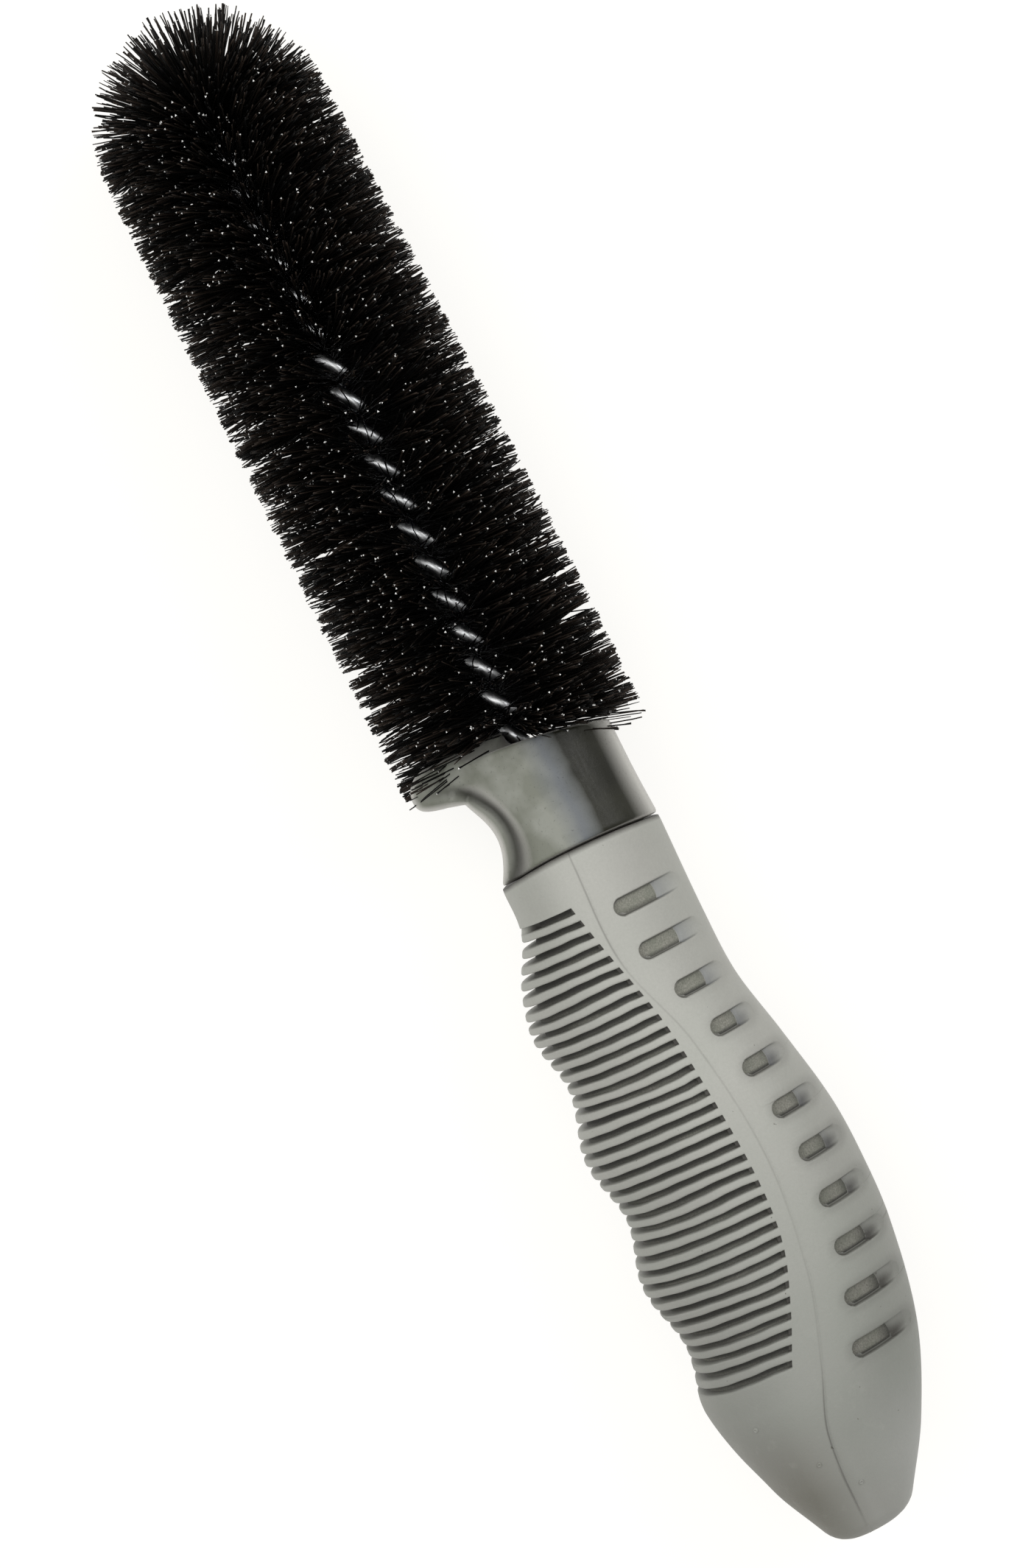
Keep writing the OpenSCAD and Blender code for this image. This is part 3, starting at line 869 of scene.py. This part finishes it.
def rubber_material():
    greenish, warm = (0.298, 0.312, 0.282), (0.335, 0.333, 0.312)
    dull_shaded, pale_lit_and_worn = (0.20, 0.205, 0.185), (0.55, 0.55, 0.505)
    butt_painted_shade, butt_painted_reflection = (0.12, 0.112, 0.088), (0.43, 0.44, 0.425)
    pores, bare, dust_grey = (0.23, 0.237, 0.21), (0.40, 0.40, 0.365), (0.12, 0.12, 0.10)
    dirt_and_shade_black, painted_reflection_grey = (0.042, 0.038, 0.033), (0.20, 0.215, 0.235)
    m = Nodes("soft_rubber", specular=0.35)
    x, y = m.axis("X"), m.axis("Y")
    base = m.mix(m.ramp(m.noise(28, 2), 0.35, 0.65), greenish, warm)
    # painted light with wear: the head end is paler and the butt end darker, standing for the light falling off
    # along the grip as well as for wear
    to_head = m.ramp_mm(x, JOINT_X - 112, JOINT_X - 45)
    base = m.mix(to_head, m.mix(0.4, base, dull_shaded), m.mix(0.5, base, pale_lit_and_worn))
    # painted shade and reflection on the butt: its belly side is darkened and its back side paled
    on_butt = m.ramp_mm(x, JOINT_X - 122, JOINT_X - 104, (1, 0))
    base = m.mix(m.math("MULTIPLY", on_butt, m.ramp_mm(y, 3, 12, (0, 0.75))), base, butt_painted_shade)
    base = m.mix(m.math("MULTIPLY", on_butt, m.ramp_mm(y, -9, 1, (0.4, 0))), base, butt_painted_reflection)
    base = m.mix(m.ramp(m.noise(0.5, 4, 0.7), 0.3, 0.7, (0, 0.16)), base, pores)
    rubbed = m.noise(6, 5, 0.65)
    base = m.mix(m.ramp(rubbed, 0.58, 0.75, (0, 0.25)), base, bare)
    base = m.mix(m.ramp(m.noise(0.9, 1, 0.4), 0.80, 0.84), base, dust_grey)
    # painted shade with grime: darkens the grooves, window walls and ends, the seam and the flanks
    dirt_and_shade = m.math("MULTIPLY", m.attribute("dirt_and_shade"), m.ramp(m.noise(3, 3), 0.3, 0.6, (0.85, 0.98)))
    base = m.mix(dirt_and_shade, base, dirt_and_shade_black)
    # painted reflection: a cool grey on the windows' sloping ends
    base = m.mix(m.math("MULTIPLY", m.attribute("ramp_reflection"), 0.5), base, painted_reflection_grey)
    m.bump(m.math("ADD", m.noise(0.35, 3, 0.6), m.math("MULTIPLY", m.noise(2.5, 3), 1.5)), 0.05)
    return m.finish(base, m.ramp(rubbed, 0.3, 0.7, (0.62, 0.5)))


def core_material():
    dark_grain, pale_grain = (0.16, 0.16, 0.135), (0.36, 0.355, 0.31)
    olive, shadow = (0.15, 0.175, 0.13), (0.022, 0.021, 0.02)
    m = Nodes("core_plastic", specular=0.3)
    grain = m.noise(0.28, 4, 0.75)
    base = m.mix(m.ramp(grain, 0.32, 0.68), dark_grain, pale_grain)
    base = m.mix(m.ramp(m.noise(4, 3), 0.4, 0.7, (0, 0.4)), base, olive)
    base = m.mix(m.attribute("shade"), base, shadow)
    m.bump(grain, 0.09)
    return m.finish(base, 0.7)


def collar_material():
    """Satin black with painted light: a pale painted reflection on the belly side, a cool painted sheen line
    beside it, and a pale painted sheen at grazing angles mixed into the base colour.
    """
    black, worn_black, scuffed = (0.010, 0.010, 0.006), (0.018, 0.018, 0.011), (0.18, 0.18, 0.165)
    reflection_pale, reflection_paler, painted_sheen_line = (0.182, 0.190, 0.156), (0.262, 0.270, 0.236), (0.135, 0.148, 0.172)
    painted_grazing_sheen, speck_black, crease_painted_shade = (0.50, 0.49, 0.455), (0.02, 0.02, 0.018), (0.012, 0.011, 0.008)
    m = Nodes("satin_collar", specular=0.28)
    broad, speck = m.noise(9, 3), m.noise(0.45, 4, 0.7)
    scuff = m.noise(0.8, 6, 0.75, stretch=(0.35, 1.6, 1.6))
    base = m.mix(m.ramp(broad, 0.35, 0.65), black, worn_black)
    base = m.mix(m.ramp(scuff, 0.66, 0.74, (0, 0.5)), base, scuffed)
    # painted reflection: the belly side is paled by its place across the collar, with a cool painted sheen line
    # beside it
    wander = m.math("MULTIPLY", m.ramp(m.noise(9, 2), 0, 1, (-1, 1)), 1.2 * MM)
    across = m.math("ADD", m.axis("Y"), wander)
    painted_belly_reflection = m.mix(m.ramp(broad, 0.4, 0.6), reflection_pale, reflection_paler)
    base = m.mix(m.ramp_mm(across, -6.6, -2.0), base, painted_belly_reflection)
    painted_sheen = m.math("MULTIPLY", m.ramp_mm(across, -6.5, -3.5), m.ramp_mm(across, -3.0, 1.0, (1, 0)))
    base = m.mix(m.math("MULTIPLY", painted_sheen, 0.7), base, painted_sheen_line)
    # painted sheen: Layer Weight pales the base colour at grazing angles
    grazing = m.add("ShaderNodeLayerWeight")
    grazing.inputs["Blend"].default_value = 0.5
    base = m.mix(m.ramp(grazing.outputs["Facing"], 0.28, 0.7, (0, 0.9)), base, painted_grazing_sheen)
    base = m.mix(m.ramp(speck, 0.60, 0.72, (0, 0.5)), base, speck_black)
    # painted shade in the crease beside the finger rest's bead
    base = m.mix(m.math("MULTIPLY", m.attribute("dirt_and_shade"), 0.85), base, crease_painted_shade)
    m.bump(m.math("ADD", speck, m.math("MULTIPLY", m.noise(3.5, 2), 2.0)), 0.03)
    return m.finish(base, m.ramp(scuff, 0.35, 0.7, (0.34, 0.5)))


def wire_material():
    zinc, bright_zinc = (0.74, 0.76, 0.78), (0.92, 0.93, 0.94)
    m = Nodes("galvanised_wire")
    spangle = m.noise(1.2, 3, 0.6, stretch=(0.4, 1, 1))
    m.shader.inputs["Metallic"].default_value = 1.0
    m.bump(m.noise(0.3, 2), 0.01)
    return m.finish(m.mix(m.ramp(spangle, 0.35, 0.65), zinc, bright_zinc),
                    m.ramp(spangle, 0.3, 0.7, (0.26, 0.42)))


def filament_material():
    black, soft_black, brown = (0.002, 0.002, 0.002), (0.008, 0.0078, 0.0073), (0.044, 0.030, 0.022)
    m = Nodes("black_filament", specular=0.12)
    tone, along = m.attribute("tone"), m.attribute("along")
    base = m.mix(m.ramp(tone, 0.0, 1.0), black, soft_black)
    browned = m.math("MULTIPLY", m.ramp(along, 0.55, 1.0), m.ramp(tone, 0.35, 1.0, (0.0, 0.75)))
    return m.finish(m.mix(browned, base, brown), m.ramp(m.noise(0.6, 2), 0.3, 0.7, (0.32, 0.5)))


# painted highlight: grey to white on the cut ends, so they read as glints
def painted_glint_material():
    grey, white = (0.4, 0.4, 0.39), (0.9, 0.9, 0.88)
    m = Nodes("cut_ends_painted_glint")
    return m.finish(m.mix(m.ramp(m.noise(0.7, 1), 0.4, 0.6), grey, white), 0.4)


def floor_material():
    low, high, glow = (0.24, 0.24, 0.235), (0.25, 0.248, 0.24), (1.0, 0.99, 0.965, 1)
    m = Nodes("white_floor", specular=0.1)
    m.shader.inputs["Emission Color"].default_value = glow
    m.shader.inputs["Emission Strength"].default_value = 0.82
    return m.finish(m.mix(m.ramp(m.noise(180, 2), 0.3, 0.7), low, high), 0.9)


# ---------------------------------------------------------------- camera and light

CAMERA_AIM = (-2.1, 5.0)      # where the picture's middle falls, at the height of the brush's axis
CAMERA_AWAY = 475.0           # the camera looks straight down from here
PICTURE_TURN = 26.0           # degrees from the picture's upright to the brush's axis
LONG_SIDE_VIEW = 33.7         # degrees
SENSOR = 36.0                 # the picture's long side, in millimetres
FLOOR_HALF = 12000.0


def look_at(thing, place, aim, up):
    """Turns a camera or light at place towards aim, with up as its upright."""
    back = np.array(place, float) - np.array(aim, float)
    back /= np.linalg.norm(back)
    right = np.cross(up, back)
    right /= np.linalg.norm(right)
    upright = np.cross(back, right)
    matrix = np.eye(4)
    matrix[:3, 0], matrix[:3, 1], matrix[:3, 2] = right, upright, back
    matrix[:3, 3] = np.array(place) * MM
    thing.matrix_world = Matrix(matrix.tolist())


def picture_direction(right, up):
    """A horizontal direction of the brush's frame from one in the picture."""
    c, s = math.cos(math.radians(PICTURE_TURN)), math.sin(math.radians(PICTURE_TURN))
    return np.array([up * c - right * s, -up * s - right * c, 0])


def build_camera():
    data = bpy.data.cameras.new("camera")
    data.sensor_width = SENSOR
    data.lens = SENSOR / 2 / math.tan(math.radians(LONG_SIDE_VIEW / 2))
    data.clip_start, data.clip_end = 0.01, 50
    camera = bpy.data.objects.new("camera", data)
    bpy.context.scene.collection.objects.link(camera)
    aim = np.array([*CAMERA_AIM, AXIS_Z])
    look_at(camera, aim + [0, 0, CAMERA_AWAY], aim, picture_direction(0, 1))
    bpy.context.scene.camera = camera


def area_light(name, size, power, right, up, height, colour=(1, 1, 1)):
    data = bpy.data.lights.new(name, "AREA")
    data.shape = "SQUARE"
    data.size = size * MM
    data.energy = power
    data.color = colour
    light = bpy.data.objects.new(name, data)
    bpy.context.scene.collection.objects.link(light)
    place = picture_direction(right, up) + np.array([0, 0, height])
    look_at(light, place, (0, 0, 0), picture_direction(0.3, 1))


def build_stage():
    mesh = bpy.data.meshes.new("floor")
    side = FLOOR_HALF * MM
    corner_points = [[-side, -side, 0], [side, -side, 0], [side, side, 0], [-side, side, 0]]
    mesh.from_pydata(corner_points, [], [[0, 1, 2, 3]])
    mesh.materials.append(floor_material())
    floor = bpy.data.objects.new("floor", mesh)
    bpy.context.scene.collection.objects.link(floor)
    world = bpy.data.worlds.new("studio")
    bpy.context.scene.world = world
    world.use_nodes = True
    background = world.node_tree.nodes["Background"]
    background.inputs["Color"].default_value = (1.0, 0.995, 0.98, 1)
    background.inputs["Strength"].default_value = 0.45
    area_light("key", 500, 3.0, 480, 480, 700)
    area_light("panel", 1200, 6.0, -380, 0, 850, (1.0, 0.995, 0.985))
    bpy.context.scene.view_settings.view_transform = "Standard"


build_stage()
build_camera()
rubber = rubber_material()
build_grip(rubber)
build_pips(rubber)
build_core(core_material())
build_collar(collar_material())
build_wire(wire_material())
build_bristles(filament_material(), painted_glint_material())
